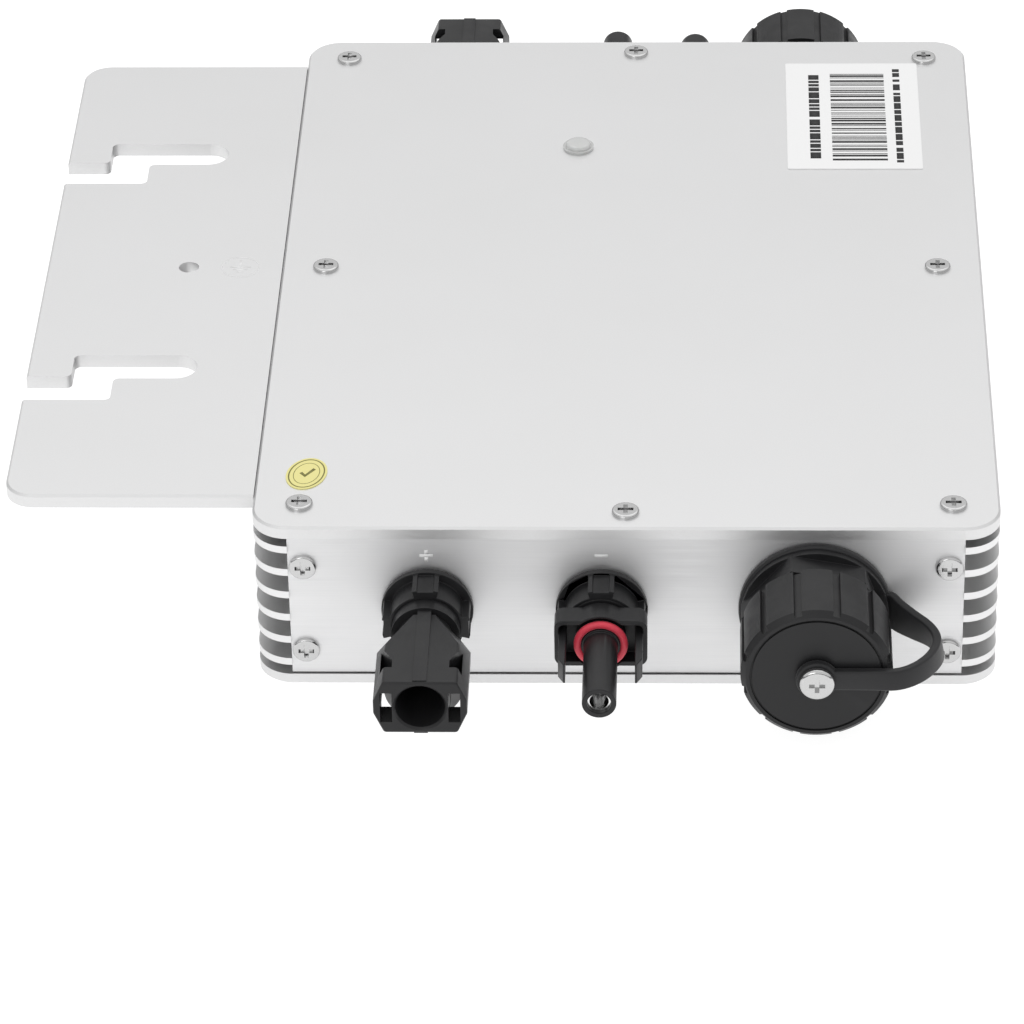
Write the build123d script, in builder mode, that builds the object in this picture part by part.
"""Micro string inverter with a flange plate for racking, four DC connectors and two capped AC ports.

Frame: X across the box, away from the mounting flange, Y from the front ports to the rear ports, Z up.
The origin is the centre of the box footprint, on the underside of the base plate. Millimetres.
"""
import os

from build123d import *

os.makedirs("parts", exist_ok=True)

# ---------------------------------------------------------------- driving dimensions
box_width = 165.0
box_depth = 222.2
box_height = 42.0
base_thickness = 2.7
plate_thickness = 3.0
corner_radius = 8.0
edge_bevel = 0.5
gasket_thickness = 0.3
gasket_width = 8.0

wall_face_x = 74.6              # outer face of the heat sink walls, where the fins start
wall_thickness = 4.5
ledge_thickness = 7.5           # thick top and bottom edges of the walls, which take the screws
ledge_height = 10.0
lug_width = 12.0                # lugs inside the end plates, for the middle screws
lug_depth = 6.0
lug_height = 7.0
fin_count = 6
fin_pitch = 6.0
fin_thickness = 1.8
fin_lift = 0.2                  # rise of the fin stack above the middle of the walls
end_plate_recess = 0.5          # how far the end plates stand back from the cover's edge

screw_shank_radius = 1.45
screw_hole_radius = 1.5
screw_pass_radius = 1.7
pan_head_radius = 3.05
pan_head_height = 0.9
screw_length = 6.0
end_screw_length = 8.0
base_screw_length = 7.5
drive_width = 1.0
drive_length = 3.5
drive_depth = 1.1
head_rounding = 0.6             # share of the head's height taken by its rounded edge
corner_screw_x = 72.2
corner_screw_y = 101.8
middle_screw_y = 104.8
end_screw_x = 71.3
end_screw_rise = 11.1           # half the height between an end plate's upper and lower screws
end_screw_drop = 0.6            # their middle stands this far below the middle of the end plate

flange_edge_x = -138.3
flange_half_width = 98.4
flange_corner_radius = 6.5
flange_gap = 0.1
rail_step = 0.2                 # the flange is this much thicker below, where the rail touches
tongue_thickness = 1.5
tongue_end_x = -65.0
tongue_screw_x = -75.0
tongue_screw_radius = 1.25
tongue_head_radius = 2.4
slot_spacing = 98.2
slot_width = 10.0
slot_step = 9.2                 # sideways step between a slot's mouth and its end
slot_step_x = -118.2
slot_entry_end_x = -128.0
slot_end_x = -99.2
slot_corner_radius = 1.5
ground_hole_x = -104.7
ground_hole_radius = 2.4

port_height = 21.1              # axis of every connector above the underside
dc_socket_x = -43.9
dc_plug_x = -5.3
ac_port_x = 41.8
antenna_x = 14.8

collar_radius = 10.2
collar_length = 8.0
collar_pad_count = 4
collar_pad_radius = 9.4
collar_pad_width = 5.0
collar_rib_angle = 14.0
collar_rim = 1.4
collar_barrel_radius = 8.3
collar_rib_width = 1.1
collar_rib_radius = 9.9
dc_thread_radius = 7.6
dc_neck_radius = 6.6
dc_seal_thickness = 0.8
dc_inner_length = 10.0
dc_nut_width = 19.0
dc_nut_thickness = 4.5
housing_width = 20.4
housing_height = 13.3
housing_start = 13.4
housing_end = 39.2
housing_top_width = 16.0        # flat top and bottom of the housing, between its sloping corners
housing_side_height = 3.2       # flat sides of the housing
housing_rounding = 0.9
housing_bore_radius = 5.4
neck_ring_end = 12.2
neck_core_radius = 6.0
crown_width = 3.0
crown_height = 0.35
ramp_top_x = 2.4                # the four ramps at the back of the housing start beside the crown
ramp_slope = (2.0, 1.0, 1.6)    # direction each ramp faces: sideways, back to the panel, up or down
latch_inner_x = 6.2
latch_outer_x = 8.9
latch_start = 25.4
latch_bend = 30.8
latch_end = 33.4
window_offset = 7.4
window_width = 2.6
window_height = 7.6
contact_shoulder = 15.0
bore_chamfer = 0.5
solder_tail = 3.0
pin_front = 24.0
contact_play = 0.05
contact_wall = 0.5
contact_recess = 1.0
contact_hole_depth = 8.0
contact_radius = 1.5
tube_radius = 3.75
tube_bore_radius = 2.6
tube_end = 37.5
hood_height = 12.0
hood_start = 9.4
hood_end = 14.8
hood_corner = 2.2
prong_end = 26.4
prong_thickness = 1.6
prong_height = 5.0
prong_inset = 1.0
prong_tip_length = 2.4
prong_tip_width = 0.4
hood_floor = 1.6
hood_wall = 1.2
hood_crown_radius = 7.2
hood_bore_width = 18.4
hood_bore_height = 9.6
tube_bore_depth = 12.0
oring_flange_radius = 5.4
oring_inner_radius = 4.3
oring_section_radius = 0.85
oring_place = 15.0

strap_thickness = 2.0
strap_root_height = 9.4
strap_face_height = 5.0
strap_ring_radius = 16.9
strap_loop_radius = 11.6
strap_clearance = 0.15
strap_root_x = 56.0
strap_bow_x = 56.8
eyelet_end_x = 55.0
eyelet_radius = 4.6
ac_flange_radius = 16.3
ac_flange_thickness = 1.6
ac_hex_width = 28.8
ac_hex_angle = -10.6
ac_hex_end = 9.6
ac_thread_radius = 13.1
ac_thread_end = 22.4
ac_bore_radius = 11.2
ac_core_radius = 8.6
insert_seat = 6.0
ac_inner_radius = 11.0
ac_inner_length = 10.0
ac_nut_width = 28.0
ac_nut_thickness = 4.5
cap_radius = 16.6
cap_start = 9.9
cap_end = 26.9
cap_bore_radius = 14.0
cap_bevel = 1.2
cap_wall_end = 24.0
cap_grip_count = 12
cap_groove_width = 1.7
cap_groove_depth = 0.8
cap_face_groove_radius = 14.6
cap_face_groove = 0.5
liner_thickness = 1.5
liner_radius = 13.7
liner_hole_radius = 4.4
cap_boss_radius = 4.2
cap_boss_start = 20.3
cap_screw_radius = 3.9
cap_screw_head = 1.6
insert_face = 17.0
ac_contact_ring = 5.2
ac_contact_count = 3
ac_contact_radius = 1.6

antenna_radius = 3.9
antenna_end = 38.0
antenna_nut_width = 11.0
antenna_thread_radius = 3.2
antenna_nut_height = 3.0
antenna_tip_radius = 3.0

lens_x = -13.6
lens_y = 56.9
lens_radius = 3.75
lens_stem_radius = 2.45
lens_rim = 0.6
lens_dome = 1.0
led_height = 1.4
pipe_radius = 1.5
pipe_collar_radius = 3.0
pipe_collar_height = 4.0
label_x = 53.9
label_y = 72.6
label_size = (32.8, 52.8)
film_thickness = 0.2
sticker_x = -71.3
sticker_y = -89.6
sticker_radii = (4.5, 6.35)
sticker_turn = -12.0
film_corner = 0.4

board_length = 190.0
board_thickness = 1.6
board_height = 9.0
groove_depth = 2.8
groove_clearance = 0.1
pillar_spacing = (110.0, 170.0)
pillar_radius = 3.0
led_width = 3.0
transformer_x = -22.0
transformer_y = 30.0
transformer_core_width = 36.0
transformer_core_depth = 14.0
transformer_height = 24.0
winding_width = 24.0
winding_depth = 32.0
winding_margin = 2.5
winding_rounding = 7.0
inductor_x = 26.0
inductor_radius = 17.0
inductor_hole_radius = 7.0
inductor_height = 15.0
inductor_rounding = 3.0
capacitor_x = 55.0
capacitor_pitch = 18.0
capacitor_count = 5
capacitor_radius = 8.0
capacitor_height = 25.0
transistors_a_side = 4
transistor_pitch = 30.0
transistor_thickness = 4.5
transistor_width = 10.0
transistor_height = 12.0
transistor_foot = 15.0
leg_pitch = 2.5
leg_thickness = 0.9
pad_thickness = 0.5
pad_margin = 2.0
clamp_thickness = 0.8
clamp_width = 6.0
clamp_height = 9.0
module_x = 26.0
module_y = 60.0
module_size = (34.0, 26.0)
header_width = 2.5
header_height = 6.0
chip_size = 10.0
dc_lead_reach = 9.0
lead_bend = 3.5
lead_stagger = 0.7
ac_lead_radius = 1.0

# ---------------------------------------------------------------- worked-out dimensions
half_width = box_width / 2
half_depth = box_depth / 2
cover_bottom = box_height - plate_thickness
shell_bottom = base_thickness + gasket_thickness
shell_top = cover_bottom - gasket_thickness
shell_height = shell_top - shell_bottom
shell_middle = (shell_top + shell_bottom) / 2
panel_face = half_depth - end_plate_recess
panel_inner = panel_face - plate_thickness
lowest_fin = shell_middle + fin_lift - (fin_count - 1) * fin_pitch / 2
board_top = board_height + board_thickness
flange_bottom = cover_bottom - rail_step
collar_end = dc_seal_thickness + collar_length
board_width = 2 * (wall_face_x - ledge_thickness + groove_depth - groove_clearance)
slot_middles = (-slot_spacing / 2, slot_spacing / 2)
BOTTOM = (Align.CENTER, Align.CENTER, Align.MIN)
TOP = (Align.CENTER, Align.CENTER, Align.MAX)
SIDES = (("front", -1), ("rear", 1))


def outward(side, x, distance, height=port_height):
    """Plane on a port's axis, facing out of the panel, with its Y up."""
    origin = (x, side * (panel_face + distance), height)
    return Plane(origin=origin, x_dir=(-side, 0, 0), z_dir=(0, side, 0))


def plan_of(side, x, height=port_height):
    """Horizontal plane over a port: Y runs out of the panel from its face, X keeps the port's own X."""
    return Plane(origin=(x, side * panel_face, height), x_dir=(-side, 0, 0), z_dir=(0, 0, -1))


def save(part, name):
    part.label = name
    export_step(part, f"parts/{name}.step")


def plate_screw_places():
    rows = (-corner_screw_y, 0, corner_screw_y)
    edges = [(x, y) for x in (-corner_screw_x, corner_screw_x) for y in rows]
    return edges + [(0, -middle_screw_y), (0, middle_screw_y)]


def tongue_screw_places():
    return [(tongue_screw_x, corner_screw_y * part / 3) for part in (-2, -1, 1, 2)]


def end_screw_places():
    middle = shell_middle - end_screw_drop
    heights = (middle - end_screw_rise, middle + end_screw_rise)
    return [(x, z) for x in (-end_screw_x, end_screw_x) for z in heights]


def pan_screw(plane, head_radius=pan_head_radius, head_height=pan_head_height, length=screw_length):
    """Pan-head screw standing on a plane: domed head above it, shank below it, cross drive cut in."""
    with BuildPart(mode=Mode.PRIVATE) as screw:
        Cylinder(head_radius, head_height, align=BOTTOM)
        fillet(screw.edges().group_by(Axis.Z)[-1], head_height * head_rounding)
        Cylinder(screw_shank_radius, length, align=TOP)
        with Locations((0, 0, head_height)):
            Box(drive_length, drive_width, 2 * drive_depth, mode=Mode.SUBTRACT)
            Box(drive_width, drive_length, 2 * drive_depth, mode=Mode.SUBTRACT)
    return plane.location * screw.part


def screw_set(name, planes, length=screw_length):
    """One node of identical screws, a separate solid at each plane."""
    save(Compound(children=[pan_screw(plane, length=length) for plane in planes]), name)


def rod(plane, radius, length, mode=Mode.ADD):
    """Round bar or round hole that starts on a plane and runs along its normal."""
    with Locations(plane):
        Cylinder(radius, length, align=BOTTOM, mode=mode)


def hex_bar(plane, width, length, bore, turn=0):
    """Hexagon nut of a given width across flats, starting on a plane."""
    with BuildSketch(plane) as outline:
        RegularPolygon(width / 2, 6, major_radius=False, rotation=turn)
        Circle(bore, mode=Mode.SUBTRACT)
    extrude(outline.sketch, amount=length)


# ---------------------------------------------------------------- casing
with BuildPart() as cover_plate:
    with BuildSketch(Plane.XY.offset(cover_bottom)):
        RectangleRounded(box_width, box_depth, corner_radius)
    extrude(amount=plate_thickness)
    top_edges = cover_plate.edges().group_by(Axis.Z)[-1]
    chamfer(top_edges, edge_bevel)
    with Locations((-half_width, 0, cover_bottom)):
        Box(
            2 * (half_width + tongue_end_x) + 2 * flange_gap,
            2 * (flange_half_width + flange_gap),
            2 * tongue_thickness,
            mode=Mode.SUBTRACT,
        )
    with Locations([(x, y, cover_bottom) for x, y in plate_screw_places()]):
        Cylinder(screw_pass_radius, plate_thickness, align=BOTTOM, mode=Mode.SUBTRACT)
    with Locations((lens_x, lens_y, cover_bottom)):
        Cylinder(lens_stem_radius + groove_clearance, plate_thickness, align=BOTTOM, mode=Mode.SUBTRACT)
save(cover_plate.part, "cover_plate")

with BuildPart() as base_plate:
    with BuildSketch():
        RectangleRounded(box_width, box_depth, corner_radius)
    extrude(amount=base_thickness)
    bottom_edges = base_plate.edges().group_by(Axis.Z)[0]
    chamfer(bottom_edges, edge_bevel)
    with Locations([Plane(origin=(x, y, 0), z_dir=(0, 0, -1)) for x, y in plate_screw_places()]):
        CounterSinkHole(screw_pass_radius, pan_head_radius, depth=base_thickness)
save(base_plate.part, "base_plate")

for gasket_name, gasket_bottom in (("base_gasket", base_thickness), ("cover_gasket", shell_top)):
    with BuildPart() as gasket:
        with BuildSketch(Plane.XY.offset(gasket_bottom)):
            Rectangle(2 * wall_face_x - edge_bevel, 2 * panel_face - edge_bevel)
            Rectangle(2 * (wall_face_x - gasket_width), 2 * (panel_face - gasket_width), mode=Mode.SUBTRACT)
            with Locations(plate_screw_places()):
                Circle(screw_pass_radius, mode=Mode.SUBTRACT)
            if gasket_name == "cover_gasket":
                with Locations(tongue_screw_places()):
                    Circle(screw_pass_radius, mode=Mode.SUBTRACT)
        extrude(amount=gasket_thickness)
    save(gasket.part, gasket_name)

for hand, side_sign in (("left", -1), ("right", 1)):
    with BuildPart() as heatsink:
        # extruded wall with thick screw ledges at its top and bottom
        with BuildSketch(Plane.XY.offset(shell_bottom)):
            with Locations((side_sign * (wall_face_x - wall_thickness / 2), 0)):
                Rectangle(wall_thickness, 2 * panel_inner)
        extrude(amount=shell_height)
        for ledge_z in (shell_bottom + ledge_height / 2, shell_top - ledge_height / 2):
            with Locations((side_sign * (wall_face_x - ledge_thickness / 2), 0, ledge_z)):
                Box(ledge_thickness, 2 * panel_inner, ledge_height)
        # fins follow the plan outline of the cover, rounded corners included
        with BuildSketch(Plane.XY.offset(lowest_fin)) as fin_outline:
            RectangleRounded(box_width, box_depth, corner_radius)
            with Locations((-side_sign * (half_width - wall_face_x), 0)):
                Rectangle(box_width, box_depth, mode=Mode.SUBTRACT)
        for fin in range(fin_count):
            fin_place = Location((0, 0, fin * fin_pitch))
            extrude(fin_outline.sketch.moved(fin_place), amount=fin_thickness / 2, both=True)
        # the board slides in a groove in the lower ledge
        groove_x = wall_face_x - ledge_thickness + groove_depth / 2
        with Locations((side_sign * groove_x, 0, board_height - groove_clearance)):
            Box(
                groove_depth,
                2 * panel_inner,
                board_thickness + 2 * groove_clearance,
                align=BOTTOM,
                mode=Mode.SUBTRACT,
            )
        side_screws = [(x, y) for x, y in plate_screw_places() if x * side_sign > 0]
        with Locations([(x, y, shell_top) for x, y in side_screws]):
            Cylinder(screw_hole_radius, screw_length, align=TOP, mode=Mode.SUBTRACT)
        with Locations([(x, y, shell_bottom) for x, y in side_screws]):
            Cylinder(screw_hole_radius, screw_length, align=BOTTOM, mode=Mode.SUBTRACT)
        if hand == "left":
            with Locations([(x, y, shell_top) for x, y in tongue_screw_places()]):
                Cylinder(tongue_screw_radius, screw_length, align=TOP, mode=Mode.SUBTRACT)
        for side_name, side in SIDES:
            for x, z in end_screw_places():
                if x * side_sign > 0:
                    screw_end = outward(side, x, -end_screw_length, z)
                    rod(screw_end, screw_hole_radius, end_screw_length, Mode.SUBTRACT)
    save(heatsink.part, f"heatsink_{hand}")

for side_name, side in SIDES:
    with BuildPart() as end_plate:
        with BuildSketch(outward(side, 0, -plate_thickness, shell_middle)):
            Rectangle(2 * wall_face_x, shell_height)
        extrude(amount=plate_thickness)
        # lugs inside the plate take the middle screws of the cover and the base
        for lug_z, lug_align in ((shell_bottom, BOTTOM), (shell_top, TOP)):
            with Locations((0, side * (panel_inner - lug_depth / 2), lug_z)):
                Box(lug_width, lug_depth, lug_height, align=lug_align)
            with Locations((0, side * middle_screw_y, lug_z)):
                Cylinder(screw_hole_radius, screw_length, align=lug_align, mode=Mode.SUBTRACT)
        for x in (dc_socket_x, dc_plug_x):
            rod(outward(side, x, -plate_thickness), dc_thread_radius, plate_thickness, Mode.SUBTRACT)
        rod(outward(side, ac_port_x, -plate_thickness), ac_inner_radius, plate_thickness, Mode.SUBTRACT)
        if side_name == "rear":
            antenna_hole = outward(side, antenna_x, -plate_thickness)
            rod(antenna_hole, antenna_thread_radius, plate_thickness, Mode.SUBTRACT)
        for x, z in end_screw_places():
            rod(outward(side, x, -plate_thickness, z), screw_pass_radius, plate_thickness, Mode.SUBTRACT)
    save(end_plate.part, f"end_plate_{side_name}")

with BuildPart() as mounting_plate:
    flange_inner_x = -half_width - flange_gap
    with BuildSketch(Plane.XY.offset(flange_bottom)) as flange_outline:
        with Locations(((flange_edge_x + flange_inner_x) / 2, 0)):
            Rectangle(flange_inner_x - flange_edge_x, 2 * flange_half_width)
        fillet(flange_outline.vertices().group_by(Axis.X)[0], flange_corner_radius)
    extrude(amount=box_height - flange_bottom)
    top_rim = mounting_plate.edges().group_by(Axis.Z)[-1]
    chamfer(top_rim.sort_by(Axis.X)[:-1], edge_bevel)
    # thin tongue that lies under the cover's rebated edge
    with Locations(((flange_inner_x + tongue_end_x) / 2, 0, cover_bottom)):
        Box(tongue_end_x - flange_inner_x, 2 * flange_half_width, tongue_thickness, align=BOTTOM)
    # stepped hook slots, open at the flange's outer edge
    with BuildSketch(Plane.XY.offset(flange_bottom)) as slots:
        for slot_y in slot_middles:
            mouth_y = slot_y - slot_step / 2
            end_y = slot_y + slot_step / 2
            with BuildSketch(mode=Mode.PRIVATE) as slot:
                with Locations(((flange_edge_x + slot_step_x) / 2 - slot_width / 4, mouth_y)):
                    Rectangle(slot_step_x - flange_edge_x + slot_width / 2, slot_width)
                with Locations(((slot_entry_end_x + slot_end_x - slot_width / 2) / 2, end_y)):
                    Rectangle(slot_end_x - slot_width / 2 - slot_entry_end_x, slot_width)
                inner_corners = slot.vertices().filter_by(lambda v: v.X > flange_edge_x + slot_corner_radius)
                fillet(inner_corners.filter_by(lambda v: v.X < slot_end_x - slot_width), slot_corner_radius)
                with Locations((slot_end_x - slot_width / 2, end_y)):
                    Circle(slot_width / 2)
            add(slot.sketch)
        with Locations((ground_hole_x, 0)):
            Circle(ground_hole_radius)
    extrude(amount=box_height - flange_bottom, mode=Mode.SUBTRACT)
    with Locations([(x, y, cover_bottom) for x, y in plate_screw_places() if x < 0 and y == 0]):
        Cylinder(screw_pass_radius, plate_thickness, align=BOTTOM, mode=Mode.SUBTRACT)
    with Locations([(x, y, cover_bottom + tongue_thickness) for x, y in tongue_screw_places()]):
        CounterSinkHole(tongue_screw_radius + groove_clearance, tongue_head_radius, depth=tongue_thickness)
save(mounting_plate.part, "mounting_plate")

# ---------------------------------------------------------------- screws
cover_planes = [Plane((x, y, box_height)) for x, y in plate_screw_places()]
screw_set("cover_screws", cover_planes, length=screw_length)
for side_name, side in SIDES:
    end_planes = [outward(side, x, 0, z) for x, z in end_screw_places()]
    screw_set(f"{side_name}_end_screws", end_planes, length=end_screw_length)

with BuildPart() as base_screws:
    with Locations([(x, y, 0) for x, y in plate_screw_places()]):
        Cylinder(screw_shank_radius, base_screw_length, align=BOTTOM)
        cone_height = pan_head_radius - screw_shank_radius
        Cone(pan_head_radius - groove_clearance, screw_shank_radius, cone_height, align=BOTTOM)
        Box(drive_length, drive_width, drive_depth, align=BOTTOM, mode=Mode.SUBTRACT)
        Box(drive_width, drive_length, drive_depth, align=BOTTOM, mode=Mode.SUBTRACT)
save(base_screws.part, "base_screws")

with BuildPart() as mounting_plate_screws:
    with Locations([(x, y, cover_bottom + tongue_thickness) for x, y in tongue_screw_places()]):
        Cylinder(tongue_screw_radius - groove_clearance / 2, screw_length, align=TOP)
        Cone(
            tongue_screw_radius,
            tongue_head_radius - groove_clearance,
            tongue_head_radius - tongue_screw_radius,
            align=TOP,
        )
        Box(2 * tongue_screw_radius, drive_width, drive_depth, align=TOP, mode=Mode.SUBTRACT)
save(mounting_plate_screws.part, "mounting_plate_screws")

# ---------------------------------------------------------------- cover details
with BuildPart() as led_lens:
    with Locations((lens_x, lens_y, box_height)):
        Cylinder(lens_radius, lens_rim, align=BOTTOM)
        Cylinder(lens_stem_radius, plate_thickness, align=TOP)
    with Locations((lens_x, lens_y, box_height + lens_rim)):
        Cylinder(lens_radius - lens_rim, lens_dome, align=BOTTOM)
    fillet(led_lens.edges().group_by(Axis.Z)[-1], lens_dome - groove_clearance)
save(led_lens.part, "led_lens")

with BuildPart() as light_pipe:
    with Locations((lens_x, lens_y, board_top + led_height)):
        Cylinder(pipe_radius, cover_bottom - board_top - led_height, align=BOTTOM)
    with Locations((lens_x, lens_y, board_top + led_height)):
        Cylinder(pipe_collar_radius, pipe_collar_height, align=BOTTOM)
save(light_pipe.part, "light_pipe")

with BuildPart() as rating_label:
    with BuildSketch(Plane.XY.offset(box_height)):
        with Locations((label_x, label_y)):
            RectangleRounded(*label_size, film_corner)
    extrude(amount=film_thickness)
save(rating_label.part, "rating_label")

with BuildPart() as inspection_sticker:
    with BuildSketch(Plane.XY.offset(box_height)):
        with Locations(Location((sticker_x, sticker_y), sticker_turn)):
            Ellipse(*sticker_radii)
    extrude(amount=film_thickness)
save(inspection_sticker.part, "inspection_sticker")

# ---------------------------------------------------------------- DC connectors
SOCKET_PORTS = [(side_name, side, dc_socket_x) for side_name, side in SIDES]
PLUG_PORTS = [(side_name, side, dc_plug_x) for side_name, side in SIDES]


def spanner_collar(side, x):
    """Round nut against the panel: a thin rim, a smaller barrel and raised pads edged by spanner ribs."""
    with BuildPart() as collar:
        start = outward(side, x, dc_seal_thickness)
        rod(start, collar_radius, collar_rim)
        rod(start, collar_barrel_radius, collar_length)
        with BuildSketch(start) as grip:
            with PolarLocations(collar_pad_radius / 2, collar_pad_count, start_angle=90):
                Rectangle(collar_pad_radius, collar_pad_width)
            for lean in (-collar_rib_angle, collar_rib_angle):
                with PolarLocations(collar_rib_radius / 2, collar_pad_count, start_angle=90 + lean):
                    Rectangle(collar_rib_radius, collar_rib_width)
        extrude(grip.sketch, amount=collar_length)
        rod(start, dc_thread_radius, collar_length, Mode.SUBTRACT)
    return collar.part


def panel_thread(side, x):
    """Threaded sleeve of a DC connector, from inside the box to the end of its collar."""
    rod(outward(side, x, -dc_inner_length), dc_thread_radius, dc_inner_length + collar_end)


for side_name, side, x in SOCKET_PORTS:
    save(spanner_collar(side, x), f"dc_socket_collar_{side_name}")
    with BuildPart() as socket_body:
        half_height = housing_height / 2
        corner_points = [(housing_top_width / 2, half_height), (housing_width / 2, housing_side_height / 2)]
        right_points = corner_points + [(px, -py) for px, py in reversed(corner_points)]
        left_points = [(-px, py) for px, py in reversed(right_points)]
        with BuildSketch(outward(side, x, housing_start)) as section:
            Polygon(*right_points, *left_points, align=None)
            fillet(section.vertices(), housing_rounding)
        extrude(section.sketch, amount=housing_end - housing_start)
        fillet(socket_body.edges().group_by(Axis.Y)[0 if side < 0 else -1], edge_bevel)
        # ramps that taper the back of the housing to its crown, above and below
        for turn in (-1, 1):
            for level in (-1, 1):
                ramp_y = side * (panel_face + housing_start)
                ramp_start = (x + turn * ramp_top_x, ramp_y, port_height + level * half_height)
                sideways, back, steep = ramp_slope
                ramp = Plane(origin=ramp_start, z_dir=(turn * sideways, -side * back, level * steep))
                rod(ramp, housing_width, housing_width, Mode.SUBTRACT)
        # threaded sleeve, neck ring and the core that joins them to the housing
        panel_thread(side, x)
        rod(outward(side, x, collar_end), dc_thread_radius, neck_ring_end - collar_end)
        rod(outward(side, x, collar_end), neck_core_radius, contact_shoulder + edge_bevel - collar_end)
        with BuildSketch(outward(side, x, collar_end)) as crown:
            Rectangle(crown_width, housing_height + 2 * crown_height)
        extrude(crown.sketch, amount=housing_end - edge_bevel - collar_end)
        # latch openings through the housing, and the windows that lead to them
        with BuildSketch(plan_of(side, x)) as latch_plan:
            Polygon(
                (latch_inner_x, latch_end),
                (latch_inner_x, latch_bend),
                (latch_outer_x, latch_start),
                (latch_outer_x, latch_end),
                align=None,
            )
            mirror(about=Plane.YZ)
        extrude(latch_plan.sketch, amount=housing_height, both=True, mode=Mode.SUBTRACT)
        for turn in (-1, 1):
            with Locations(outward(side, x + turn * window_offset, housing_end)):
                Box(window_width, window_height, 2 * (housing_end - latch_bend), mode=Mode.SUBTRACT)
        rod(outward(side, x, contact_shoulder), housing_bore_radius, housing_end, Mode.SUBTRACT)
        rod(outward(side, x, -dc_inner_length), contact_radius, housing_end, Mode.SUBTRACT)
        with Locations(outward(side, x, housing_end - bore_chamfer)):
            Cone(
                housing_bore_radius,
                housing_bore_radius + bore_chamfer,
                bore_chamfer,
                align=BOTTOM,
                mode=Mode.SUBTRACT,
            )
    save(socket_body.part, f"dc_socket_{side_name}")

for side_name, side, x in PLUG_PORTS:
    save(spanner_collar(side, x), f"dc_plug_collar_{side_name}")
    with BuildPart() as plug_body:
        panel_thread(side, x)
        rod(outward(side, x, collar_end), dc_neck_radius, hood_start - collar_end)
        # hood that meets the mating housing, hollow round the tube
        with BuildSketch(outward(side, x, hood_start)) as hood:
            RectangleRounded(housing_width, hood_height, hood_corner)
            Circle(hood_crown_radius)
        extrude(hood.sketch, amount=hood_end - hood_start)
        with BuildSketch(outward(side, x, hood_start + hood_floor)) as hood_hollow:
            RectangleRounded(hood_bore_width, hood_bore_height, hood_wall)
            Circle(hood_crown_radius - hood_wall / 2)
        extrude(hood_hollow.sketch, amount=hood_end, mode=Mode.SUBTRACT)
        # seal seat, tube and latch prongs
        rod(outward(side, x, hood_start), oring_inner_radius, oring_place + oring_section_radius - hood_start)
        flange_length = oring_place - oring_section_radius - hood_start
        rod(outward(side, x, hood_start), oring_flange_radius, flange_length)
        rod(outward(side, x, hood_start), tube_radius, tube_end - hood_start)
        prong_outer = housing_width / 2 - prong_inset
        prong_inner = prong_outer - prong_thickness
        with BuildSketch(plan_of(side, x)) as prongs:
            with BuildLine():
                Polyline(
                    (prong_inner, hood_start + hood_floor),
                    (prong_outer, hood_start + hood_floor),
                    (prong_outer, prong_end - prong_tip_length),
                    (prong_inner + prong_tip_width, prong_end),
                    (prong_inner, prong_end),
                    close=True,
                )
            make_face()
            mirror(about=Plane.YZ)
        extrude(prongs.sketch, amount=prong_height / 2, both=True)
        rod(outward(side, x, -dc_inner_length), contact_radius, tube_end + dc_inner_length, Mode.SUBTRACT)
        rod(outward(side, x, tube_end - tube_bore_depth), tube_bore_radius, tube_bore_depth, Mode.SUBTRACT)
    save(plug_body.part, f"dc_plug_{side_name}")

DC_PORTS = SOCKET_PORTS + PLUG_PORTS
with BuildPart() as dc_panel_seals:
    for side_name, side, x in DC_PORTS:
        rod(outward(side, x, 0), collar_radius - edge_bevel, dc_seal_thickness)
        rod(outward(side, x, 0), dc_thread_radius, dc_seal_thickness, Mode.SUBTRACT)
save(dc_panel_seals.part, "dc_panel_seals")

with BuildPart() as dc_locknuts:
    for side_name, side, x in DC_PORTS:
        nut_plane = outward(side, x, -plate_thickness - dc_nut_thickness)
        hex_bar(nut_plane, dc_nut_width, dc_nut_thickness, dc_thread_radius)
save(dc_locknuts.part, "dc_locknuts")

with BuildPart() as dc_orings:
    for side_name, side, x in PLUG_PORTS:
        with Locations(outward(side, x, oring_place)):
            Torus(oring_inner_radius + oring_section_radius, oring_section_radius)
save(dc_orings.part, "dc_orings")

with BuildPart() as dc_pin_contacts:
    for side_name, side, x in SOCKET_PORTS:
        pin_back = -dc_inner_length - solder_tail
        rod(outward(side, x, pin_back), contact_radius - contact_play, pin_front - pin_back)
    fillet(dc_pin_contacts.edges().filter_by(GeomType.CIRCLE), contact_radius * head_rounding)
save(dc_pin_contacts.part, "dc_pin_contacts")

with BuildPart() as dc_tube_contacts:
    for side_name, side, x in PLUG_PORTS:
        tail_back = -dc_inner_length - solder_tail
        tail_length = tube_end - tube_bore_depth - tail_back
        rod(outward(side, x, tail_back), contact_radius - contact_play, tail_length)
        cup = outward(side, x, tube_end - tube_bore_depth)
        rod(cup, tube_bore_radius - contact_play, tube_bore_depth - contact_recess)
        rod(cup, tube_bore_radius - contact_wall, tube_bore_depth, Mode.SUBTRACT)
save(dc_tube_contacts.part, "dc_tube_contacts")

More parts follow.
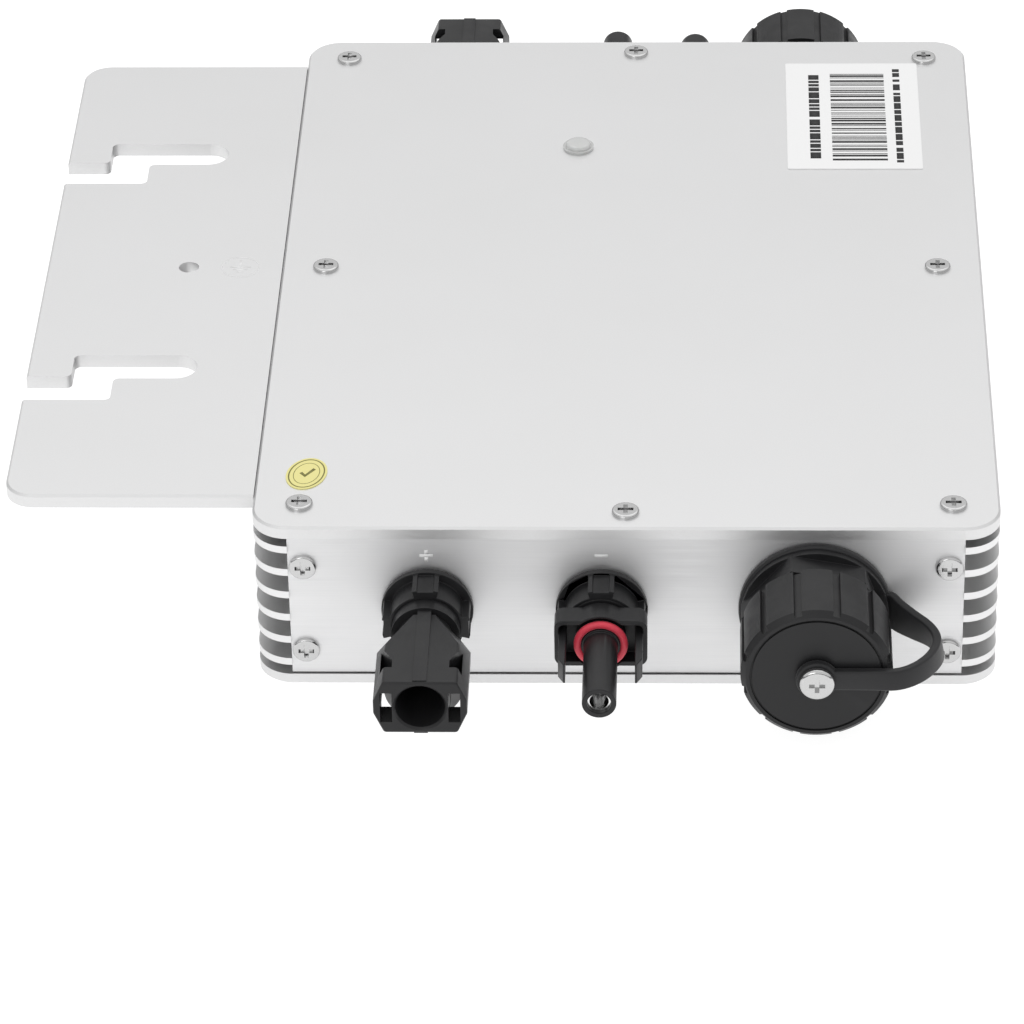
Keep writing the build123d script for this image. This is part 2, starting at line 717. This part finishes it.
# ---------------------------------------------------------------- AC ports
for side_name, side in SIDES:
    port = outward(side, ac_port_x, 0)
    with BuildPart() as tether_strap:
        # band that loops from the panel round to the cap's face, and narrows on the way
        root_y = side * (panel_face + strap_thickness / 2)
        face_y = side * (panel_face + cap_end + strap_clearance + strap_thickness / 2)
        with BuildSketch(Plane.XY.offset(port_height - strap_root_height / 2)) as band:
            with BuildLine():
                Line((strap_root_x, root_y), (strap_bow_x, root_y))
                EllipticalCenterArc(
                    (strap_bow_x, (root_y + face_y) / 2),
                    strap_loop_radius,
                    abs(face_y - root_y) / 2,
                    start_angle=-90,
                    arc_size=180,
                )
                Line((strap_bow_x, face_y), (eyelet_end_x, face_y))
            trace(line_width=strap_thickness)
        extrude(band.sketch, amount=strap_root_height)
        with BuildSketch(Plane.YZ) as taper:
            Polygon(
                (side * panel_face, port_height - strap_root_height / 2),
                (side * panel_face, port_height + strap_root_height / 2),
                (face_y + side * strap_thickness, port_height + strap_face_height / 2),
                (face_y + side * strap_thickness, port_height - strap_face_height / 2),
                align=None,
            )
        extrude(taper.sketch, amount=box_width, mode=Mode.INTERSECT)
        # flat ring against the panel, with room for the cap outside it
        cap_room = cap_end - strap_thickness
        rod(outward(side, ac_port_x, strap_thickness), strap_ring_radius, cap_room, Mode.SUBTRACT)
        rod(port, strap_ring_radius, strap_thickness)
        rod(port, ac_inner_radius, strap_thickness, Mode.SUBTRACT)
    save(tether_strap.part, f"tether_strap_{side_name}")

    eyelet_plane = outward(side, ac_port_x, cap_end + strap_clearance)
    with BuildPart() as tether_eyelet:
        rod(eyelet_plane, eyelet_radius, strap_thickness)
        with Locations(((ac_port_x + eyelet_end_x) / 2, face_y, port_height)):
            Box(eyelet_end_x - ac_port_x, strap_thickness, strap_face_height)
        rod(eyelet_plane, screw_pass_radius, strap_thickness, Mode.SUBTRACT)
    save(tether_eyelet.part, f"tether_eyelet_{side_name}")

    flange = outward(side, ac_port_x, strap_thickness)
    with BuildPart() as ac_bulkhead:
        rod(flange, ac_flange_radius, ac_flange_thickness)
        hex_length = ac_hex_end - strap_thickness - ac_flange_thickness
        hex_bar(flange.offset(ac_flange_thickness), ac_hex_width, hex_length, ac_bore_radius, ac_hex_angle)
        rod(flange, ac_thread_radius, ac_thread_end - strap_thickness)
        rod(outward(side, ac_port_x, -ac_inner_length), ac_inner_radius, ac_inner_length + strap_thickness)
        rod(outward(side, ac_port_x, -ac_inner_length), ac_core_radius, ac_thread_end, Mode.SUBTRACT)
        rod(outward(side, ac_port_x, insert_seat), ac_bore_radius, ac_thread_end, Mode.SUBTRACT)
    save(ac_bulkhead.part, f"ac_bulkhead_{side_name}")

    with BuildPart() as ac_insert:
        rod(outward(side, ac_port_x, insert_seat), ac_bore_radius - contact_play, insert_face - insert_seat)
        insert_back = outward(side, ac_port_x, -ac_inner_length)
        rod(insert_back, ac_core_radius - contact_play, insert_seat + ac_inner_length)
        with BuildSketch(insert_back) as insert_holes:
            with PolarLocations(ac_contact_ring, ac_contact_count, start_angle=90):
                Circle(ac_contact_radius)
        extrude(insert_holes.sketch, amount=insert_face + ac_inner_length, mode=Mode.SUBTRACT)
    save(ac_insert.part, f"ac_insert_{side_name}")

    with BuildPart() as ac_cap:
        rod(outward(side, ac_port_x, cap_start), cap_radius, cap_end - cap_start)
        chamfer(ac_cap.edges().group_by(Axis.Y)[0 if side < 0 else -1], cap_bevel)
        with BuildSketch(outward(side, ac_port_x, cap_start)) as grip_grooves:
            with PolarLocations(cap_radius, cap_grip_count, start_angle=180 / cap_grip_count):
                Rectangle(2 * cap_groove_depth, cap_groove_width)
        extrude(grip_grooves.sketch, amount=cap_end - cap_start, mode=Mode.SUBTRACT)
        rod(outward(side, ac_port_x, cap_start), cap_bore_radius, cap_wall_end - cap_start, Mode.SUBTRACT)
        rod(outward(side, ac_port_x, cap_boss_start), cap_boss_radius, cap_wall_end - cap_boss_start)
        with BuildSketch(outward(side, ac_port_x, cap_end)) as face_groove:
            Circle(cap_face_groove_radius)
            Circle(cap_face_groove_radius - cap_face_groove, mode=Mode.SUBTRACT)
        extrude(face_groove.sketch, amount=-cap_face_groove, mode=Mode.SUBTRACT)
        rod(outward(side, ac_port_x, cap_boss_start), screw_hole_radius, cap_end, Mode.SUBTRACT)
    save(ac_cap.part, f"ac_cap_{side_name}")

    with BuildPart() as cap_liner:
        liner_plane = outward(side, ac_port_x, cap_wall_end - liner_thickness)
        rod(liner_plane, liner_radius, liner_thickness)
        rod(liner_plane, liner_hole_radius, liner_thickness, Mode.SUBTRACT)
    save(cap_liner.part, f"cap_liner_{side_name}")

    screw_plane = outward(side, ac_port_x, cap_end + 2 * strap_clearance + strap_thickness)
    cap_screw = pan_screw(screw_plane, cap_screw_radius, cap_screw_head, end_screw_length)
    save(cap_screw, f"cap_screw_{side_name}")

with BuildPart() as ac_locknuts:
    for side_name, side in SIDES:
        nut_plane = outward(side, ac_port_x, -plate_thickness - ac_nut_thickness)
        hex_bar(nut_plane, ac_nut_width, ac_nut_thickness, ac_inner_radius)
save(ac_locknuts.part, "ac_locknuts")

with BuildPart() as ac_contacts:
    for side_name, side in SIDES:
        with BuildSketch(outward(side, ac_port_x, -ac_inner_length - solder_tail)) as contact_bars:
            with PolarLocations(ac_contact_ring, ac_contact_count, start_angle=90):
                Circle(ac_contact_radius - contact_play)
        extrude(contact_bars.sketch, amount=insert_face + ac_inner_length + solder_tail)
        with BuildSketch(outward(side, ac_port_x, insert_face)) as contact_holes:
            with PolarLocations(ac_contact_ring, ac_contact_count, start_angle=90):
                Circle(ac_contact_radius - contact_wall)
        extrude(contact_holes.sketch, amount=-contact_hole_depth, mode=Mode.SUBTRACT)
save(ac_contacts.part, "ac_contacts")

# ---------------------------------------------------------------- radio antenna
with BuildPart() as radio_antenna:
    antenna_root = outward(1, antenna_x, 0)
    rod(outward(1, antenna_x, -dc_inner_length), antenna_thread_radius - contact_play, dc_inner_length)
    hex_bar(antenna_root, antenna_nut_width, antenna_nut_height, contact_radius)
    rod(antenna_root, antenna_radius, antenna_end)
    fillet(radio_antenna.edges().group_by(Axis.Y)[-1], antenna_tip_radius)
save(radio_antenna.part, "radio_antenna")

# ---------------------------------------------------------------- circuit board and what stands on it
with BuildPart() as circuit_board:
    with BuildSketch(Plane.XY.offset(board_height)):
        Rectangle(board_width, board_length)
        with GridLocations(*pillar_spacing, 2, 2):
            Circle(screw_pass_radius, mode=Mode.SUBTRACT)
    extrude(amount=board_thickness)
    with Locations((lens_x, lens_y, board_top)):
        Box(led_width, led_width, led_height, align=BOTTOM)
save(circuit_board.part, "circuit_board")

with BuildPart() as board_pillars:
    with BuildSketch(Plane.XY.offset(base_thickness)):
        with GridLocations(*pillar_spacing, 2, 2):
            Circle(pillar_radius)
            Circle(screw_hole_radius, mode=Mode.SUBTRACT)
    extrude(amount=board_height - base_thickness)
save(board_pillars.part, "board_pillars")

pillar_places = GridLocations(*pillar_spacing, 2, 2).local_locations
screw_set("board_screws", [Plane(place.position + (0, 0, board_top)) for place in pillar_places])

with BuildPart() as transformers:
    for turn in (-1, 1):
        with Locations((transformer_x, turn * transformer_y, board_top)):
            Box(transformer_core_width, transformer_core_depth, transformer_height, align=BOTTOM)
        with BuildSketch(Plane.XY.offset(board_top + winding_margin)) as winding:
            with Locations((transformer_x, turn * transformer_y)):
                RectangleRounded(winding_width, winding_depth, winding_rounding)
        extrude(winding.sketch, amount=transformer_height - 2 * winding_margin)
save(transformers.part, "transformers")

with BuildPart() as output_inductor:
    with BuildSketch(Plane.XY.offset(board_top)):
        with Locations((inductor_x, 0)):
            Circle(inductor_radius)
            Circle(inductor_hole_radius, mode=Mode.SUBTRACT)
    extrude(amount=inductor_height)
    fillet(output_inductor.edges().group_by(Axis.Z)[-1], inductor_rounding)
save(output_inductor.part, "output_inductor")

with BuildPart() as bulk_capacitors:
    with BuildSketch(Plane.XY.offset(board_top)):
        with Locations((capacitor_x, 0)):
            with GridLocations(0, capacitor_pitch, 1, capacitor_count):
                Circle(capacitor_radius)
    extrude(amount=capacitor_height)
    fillet(bulk_capacitors.edges().group_by(Axis.Z)[-1], edge_bevel)
save(bulk_capacitors.part, "bulk_capacitors")

wall_inner_x = wall_face_x - wall_thickness
transistor_back_x = wall_inner_x - pad_thickness
transistor_middle = (transistors_a_side - 1) / 2
transistor_ys = [(place - transistor_middle) * transistor_pitch for place in range(transistors_a_side)]
transistor_sites = [(turn, y) for turn in (-1, 1) for y in transistor_ys]

with BuildPart() as power_transistors:
    for turn, y in transistor_sites:
        with Locations((turn * (transistor_back_x - transistor_thickness / 2), y, transistor_foot)):
            Box(transistor_thickness, transistor_width, transistor_height, align=BOTTOM)
        for leg in (-1, 0, 1):
            leg_x = turn * (transistor_back_x - transistor_thickness + leg_thickness / 2)
            with Locations((leg_x, y + leg * leg_pitch, board_top)):
                Box(leg_thickness, leg_thickness, transistor_foot - board_top, align=BOTTOM)
save(power_transistors.part, "power_transistors")

with BuildPart() as thermal_pads:
    for turn, y in transistor_sites:
        with Locations((turn * (wall_inner_x - pad_thickness / 2), y, transistor_foot)):
            Box(pad_thickness, transistor_width + pad_margin, transistor_height, align=BOTTOM)
save(thermal_pads.part, "thermal_pads")

with BuildPart() as transistor_clamps:
    clamp_x = transistor_back_x - transistor_thickness - clamp_thickness
    clamp_top = shell_top - ledge_height
    for turn, y in transistor_sites:
        with Locations((turn * (clamp_x + clamp_thickness / 2), y, clamp_top)):
            Box(clamp_thickness, clamp_width, clamp_height, align=TOP)
        with Locations((turn * (clamp_x + wall_inner_x) / 2, y, clamp_top)):
            Box(wall_inner_x - clamp_x, clamp_width, clamp_thickness, align=TOP)
save(transistor_clamps.part, "transistor_clamps")

with BuildPart() as control_module:
    with Locations((module_x, module_y, board_top)):
        Box(module_size[0], header_width, header_height, align=BOTTOM)
    with Locations((module_x, module_y, board_top + header_height)):
        Box(*module_size, board_thickness, align=BOTTOM)
    with Locations((module_x, module_y, board_top + header_height + board_thickness)):
        Box(chip_size, chip_size, led_height, align=BOTTOM)
save(control_module.part, "control_module")

# ---------------------------------------------------------------- leads from the ports to the board
tail_end = dc_inner_length + solder_tail


def bent_lead(side, x, height, reach, radius):
    """Stiff lead from a contact's tail into the box, then down to the board."""
    tail_y = side * (panel_face - tail_end)
    drop_y = side * (panel_face - tail_end - reach)
    path = FilletPolyline((x, tail_y, height), (x, drop_y, height), (x, drop_y, board_top), radius=lead_bend)
    with BuildSketch(Plane(origin=(x, tail_y, height), z_dir=(0, -side, 0))) as section:
        Circle(radius)
    return sweep(section.sketch, path=path, mode=Mode.PRIVATE)


dc_leads = [bent_lead(side, x, port_height, dc_lead_reach, contact_radius) for side_name, side, x in DC_PORTS]
save(Compound(children=dc_leads), "dc_leads")

ac_leads = []
for side_name, side in SIDES:
    contact_plane = outward(side, ac_port_x, -tail_end)
    for place in PolarLocations(ac_contact_ring, ac_contact_count, start_angle=90).local_locations:
        tail = contact_plane.from_local_coords(place.position)
        reach = dc_lead_reach + (tail.Z - port_height) * lead_stagger
        ac_leads.append(bent_lead(side, tail.X, tail.Z, reach, ac_lead_radius))
save(Compound(children=ac_leads), "ac_leads")
